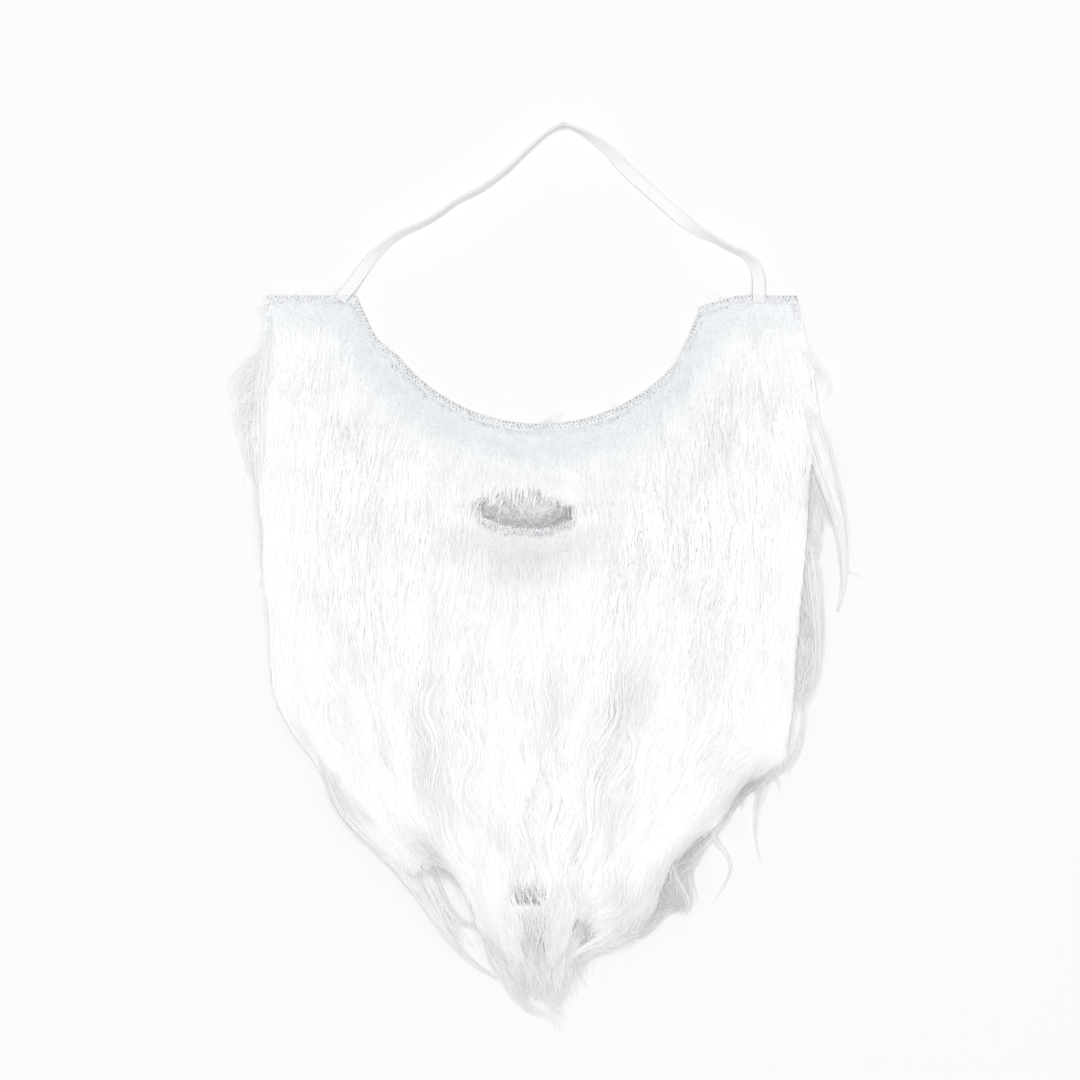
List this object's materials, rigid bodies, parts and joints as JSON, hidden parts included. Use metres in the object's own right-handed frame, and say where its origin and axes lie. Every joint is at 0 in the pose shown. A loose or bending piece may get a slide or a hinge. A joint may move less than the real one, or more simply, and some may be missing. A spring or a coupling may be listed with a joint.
{
  "type": "fake beard",
  "caption": "Long white fake beard of combed pile on a cloth backing, with a mouth slit, hemmed ear tabs and neckline, and a flat elastic head strap.",
  "frame": {"origin": "on the flat underside of the backing cloth, 74 mm below the middle of the mouth slit and 121 mm below the lowest point of the neckline", "axes": "+X to the right in a front view, +Y from the chin tip to the top of the elastic strap, +Z out of the pile; the part lies on its back on z = 0"},
  "size_m": [0.3391, 0.5115, 0.0232],
  "materials": {
    "backing": "white knitted cloth",
    "pile": "long white synthetic pile",
    "hem": "zigzag stitched edge",
    "elastic": "ribbed white elastic",
    "thread": "white sewing thread"
  },
  "bodies": {
    "root": {"backing_cloth": "backing", "fur_pile": "pile", "top_hem": "hem", "mouth_hem": "hem", "elastic_strap": "elastic", "strap_tie": "thread"}
  },
  "joints": []
}
